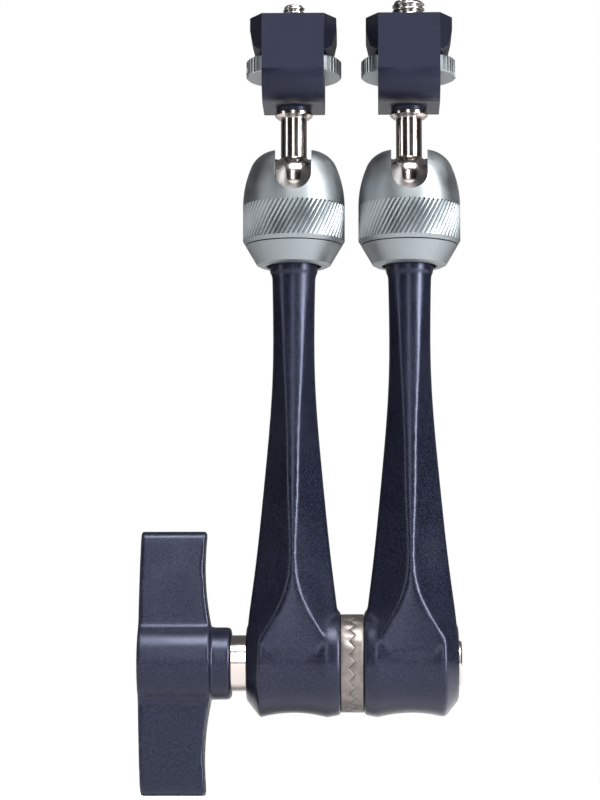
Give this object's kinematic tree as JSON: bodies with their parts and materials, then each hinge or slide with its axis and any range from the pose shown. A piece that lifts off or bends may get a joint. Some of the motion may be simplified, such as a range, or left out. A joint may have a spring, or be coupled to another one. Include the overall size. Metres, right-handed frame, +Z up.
{
  "type": "articulating friction arm",
  "caption": "Folding friction arm: cast arms on a wing-knob elbow bolt, a slotted ball collar on each end and a thumb-wheel camera screw head on each ball.",
  "frame": {"origin": "on the left camera screw's axis at the left head's top face", "axes": "+Z up out of the heads, +X along the elbow bolt from the left arm to the right arm, -Y the front that the ball slots face"},
  "size_m": [0.0933, 0.0324, 0.2325],
  "materials": {
    "dark_coat": "cast, with a fine-textured dark powder coat",
    "dark_anodised": "bead-blasted, dark anodised",
    "satin_collar": "satin anodised, turned and knurled",
    "satin_wheel": "satin turned",
    "polished_stud": "polished",
    "plain_steel": "turned",
    "ring_steel": "sintered, dull",
    "pad_nylon": "moulded"
  },
  "bodies": {
    "left_head": {"left_head_frame": "dark_anodised"},
    "left_wheel": {"left_thumb_wheel": "satin_wheel", "left_camera_screw": "plain_steel"},
    "left_ball": {"left_ball_stud": "polished_stud"},
    "left_collar": {"left_ball_collar": "satin_collar"},
    "left_arm": {"left_arm": "dark_coat", "left_push_rod": "plain_steel", "left_ball_pad": "pad_nylon", "left_wedge": "plain_steel", "left_tooth_ring": "ring_steel", "right_tooth_ring": "ring_steel", "elbow_bolt": "plain_steel", "bolt_washer": "plain_steel", "wedge_spring": "plain_steel", "knob_sleeve": "polished_stud"},
    "left_ring": {"left_lock_ring": "satin_collar"},
    "knob": {"knob": "dark_coat", "knob_nut": "plain_steel"},
    "right_arm": {"right_arm": "dark_coat", "right_push_rod": "plain_steel", "right_ball_pad": "pad_nylon", "right_wedge": "plain_steel"},
    "right_ring": {"right_lock_ring": "satin_collar"},
    "right_collar": {"right_ball_collar": "satin_collar"},
    "right_ball": {"right_ball_stud": "polished_stud"},
    "right_head": {"right_head_frame": "dark_anodised"},
    "right_wheel": {"right_thumb_wheel": "satin_wheel", "right_camera_screw": "plain_steel"}
  },
  "joints": [
    {"name": "left_wheel_turn", "type": "hinge", "parent": "left_head", "child": "left_wheel", "pos_m": [0, 0, 0], "axis": [0, 0, 1], "continuous": true},
    {"name": "left_head_turn", "type": "hinge", "parent": "left_head", "child": "left_ball", "pos_m": [0, 0, -0.0463], "axis": [0, 0, 1], "continuous": true},
    {"name": "left_ball_tilt", "type": "hinge", "parent": "left_ball", "child": "left_collar", "pos_m": [0, 0, -0.0463], "axis": [-1, 0, 0], "range_deg": [-25, 90]},
    {"name": "left_collar_turn", "type": "hinge", "parent": "left_collar", "child": "left_arm", "pos_m": [0, 0, -0.0463], "axis": [0, 0, 1], "continuous": true},
    {"name": "left_ring_turn", "type": "hinge", "parent": "left_arm", "child": "left_ring", "pos_m": [0, 0, -0.0463], "axis": [0, 0, 1], "continuous": true},
    {"name": "knob_turn", "type": "hinge", "parent": "left_arm", "child": "knob", "pos_m": [0, 0, -0.1876], "axis": [-1, 0, 0], "range_deg": [0, 360]},
    {"name": "elbow", "type": "hinge", "parent": "left_arm", "child": "right_arm", "pos_m": [0.0169, 0, -0.1876], "axis": [1, 0, 0], "continuous": true},
    {"name": "right_ring_turn", "type": "hinge", "parent": "right_arm", "child": "right_ring", "pos_m": [0.0338, 0, -0.0463], "axis": [0, 0, 1], "continuous": true},
    {"name": "right_collar_turn", "type": "hinge", "parent": "right_arm", "child": "right_collar", "pos_m": [0.0338, 0, -0.0463], "axis": [0, 0, 1], "continuous": true},
    {"name": "right_ball_tilt", "type": "hinge", "parent": "right_collar", "child": "right_ball", "pos_m": [0.0338, 0, -0.0463], "axis": [1, 0, 0], "range_deg": [-25, 90]},
    {"name": "right_head_turn", "type": "hinge", "parent": "right_ball", "child": "right_head", "pos_m": [0.0338, 0, -0.0463], "axis": [0, 0, 1], "continuous": true},
    {"name": "right_wheel_turn", "type": "hinge", "parent": "right_head", "child": "right_wheel", "pos_m": [0.0338, 0, 0], "axis": [0, 0, 1], "continuous": true}
  ]
}
